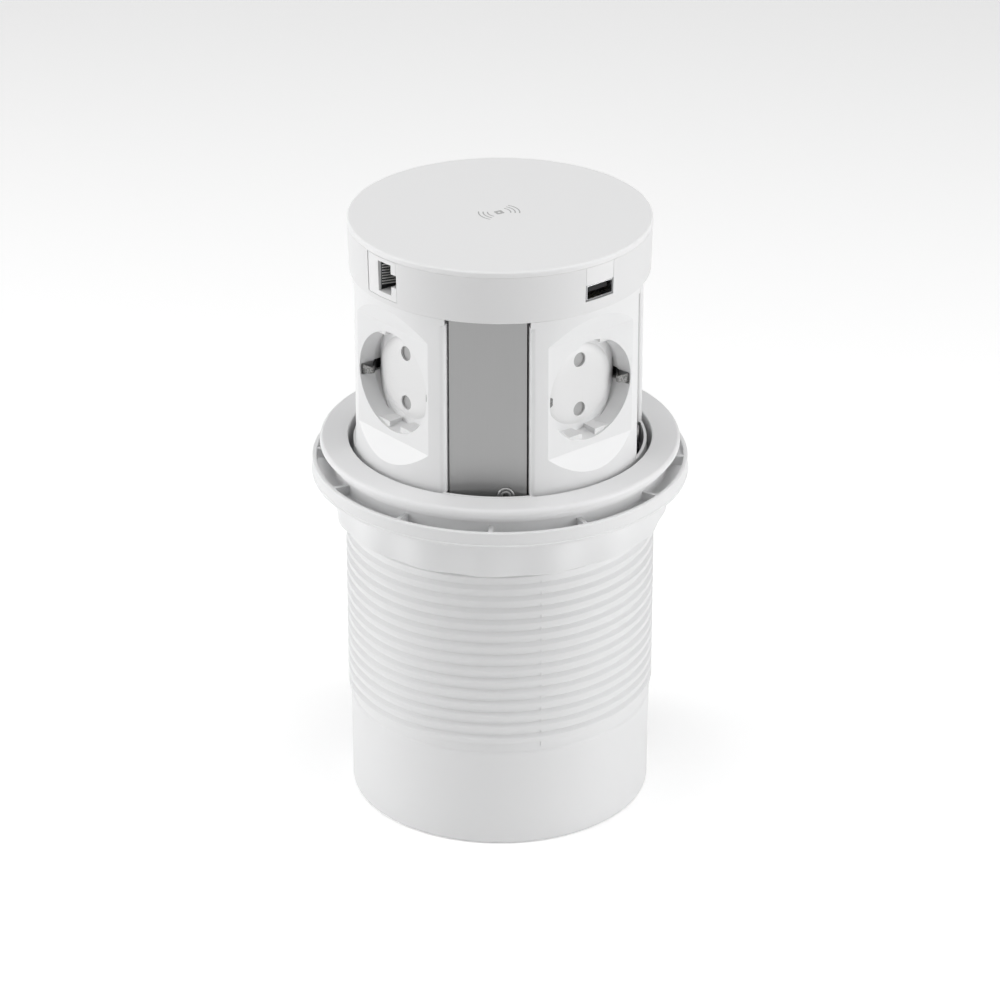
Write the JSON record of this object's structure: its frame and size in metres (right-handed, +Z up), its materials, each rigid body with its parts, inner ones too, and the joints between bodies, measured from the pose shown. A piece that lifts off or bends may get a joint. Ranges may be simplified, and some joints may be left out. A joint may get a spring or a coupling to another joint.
{
  "type": "pop-up desk socket",
  "caption": "Round pop-up desk socket: threaded sleeve with flange and ring nut, sliding column with earthed sockets, network and USB ports and a charging lid.",
  "frame": {"origin": "centre of the sleeve's base, where the raised unit stands", "axes": "+Z up along the column; sockets face +X, +Y, -X and -Y"},
  "size_m": [0.1374, 0.1374, 0.2267],
  "materials": {
    "sleeve_white": "fine satin moulded",
    "collar_white": "satin",
    "panel_white": "satin",
    "insert_white": "semi-gloss",
    "cap_white": "satin",
    "satin_aluminium": "satin anodised",
    "steel": "bright",
    "shutter_grey": "fine satin",
    "black_plastic": "satin",
    "strut_paint": "smooth",
    "rubber": "matt",
    "brass": "bright",
    "copper": "enamelled winding",
    "board_green": "solder mask",
    "terminal_ivory": "satin"
  },
  "bodies": {
    "housing": {"housing_sleeve": "sleeve_white", "trim_collar": "collar_white", "guide_ring": "collar_white", "bottom_cover": "sleeve_white", "cover_screws": "steel", "cable_grommet": "rubber", "terminal_block": "terminal_ivory", "strut_foot": "black_plastic", "strut_rod": "steel", "guide_rod": "steel", "latch_body": "black_plastic", "latch_spring": "steel"},
    "ring_nut": {"ring_nut": "sleeve_white"},
    "latch_hook": {"latch_hook": "black_plastic"},
    "column": {"column_foot": "collar_white", "strut_tube": "strut_paint", "strut_gland": "rubber", "socket_panel_1": "panel_white", "socket_panel_2": "panel_white", "socket_panel_3": "panel_white", "socket_panel_4": "panel_white", "corner_strip_1": "satin_aluminium", "corner_strip_2": "satin_aluminium", "corner_strip_3": "satin_aluminium", "corner_strip_4": "satin_aluminium", "strip_screws": "steel", "socket_insert_1": "insert_white", "socket_insert_2": "insert_white", "socket_insert_3": "insert_white", "socket_insert_4": "insert_white", "shutter_springs": "steel", "earth_clips": "brass", "contact_carriers": "insert_white", "contact_sleeves": "brass", "line_link": "brass", "neutral_link": "brass", "earth_link": "brass", "head_plate": "panel_white", "cap_rim": "cap_white", "cap_lid": "cap_white", "charge_coil": "copper", "coil_ferrite": "black_plastic", "charger_board": "board_green", "board_posts": "brass", "usb_face": "cap_white", "usb_shell": "steel", "usb_tongue": "black_plastic", "jack_body": "cap_white", "jack_contacts": "brass", "cap_screws": "steel"},
    "shutter_1": {"shutter_1": "shutter_grey"},
    "shutter_2": {"shutter_2": "shutter_grey"},
    "shutter_3": {"shutter_3": "shutter_grey"},
    "shutter_4": {"shutter_4": "shutter_grey"}
  },
  "joints": [
    {"name": "column_slide", "type": "slide", "parent": "housing", "child": "column", "axis": [0, 0, 1], "range_m": [-0.084, 0], "stiffness_N_per_m": 60, "springref_m": 0.25},
    {"name": "nut_travel", "type": "slide", "parent": "housing", "child": "ring_nut", "axis": [0, 0, 1], "range_m": [-0.068, 0]},
    {"name": "latch_swing", "type": "hinge", "parent": "housing", "child": "latch_hook", "pos_m": [0.031, 0, 0.007], "axis": [0, 1, 0], "range_deg": [0, 8], "stiffness_Nm_per_rad": 0.05},
    {"name": "shutter_turn_1", "type": "hinge", "parent": "column", "child": "shutter_1", "pos_m": [0, 0, 0.175], "axis": [1, 0, 0], "range_deg": [0, 35], "stiffness_Nm_per_rad": 0.01},
    {"name": "shutter_turn_2", "type": "hinge", "parent": "column", "child": "shutter_2", "pos_m": [0, 0, 0.175], "axis": [0, 1, 0], "range_deg": [0, 35], "stiffness_Nm_per_rad": 0.01},
    {"name": "shutter_turn_3", "type": "hinge", "parent": "column", "child": "shutter_3", "pos_m": [0, 0, 0.175], "axis": [-1, 0, 0], "range_deg": [0, 35], "stiffness_Nm_per_rad": 0.01},
    {"name": "shutter_turn_4", "type": "hinge", "parent": "column", "child": "shutter_4", "pos_m": [0, 0, 0.175], "axis": [0, -1, 0], "range_deg": [0, 35], "stiffness_Nm_per_rad": 0.01}
  ]
}
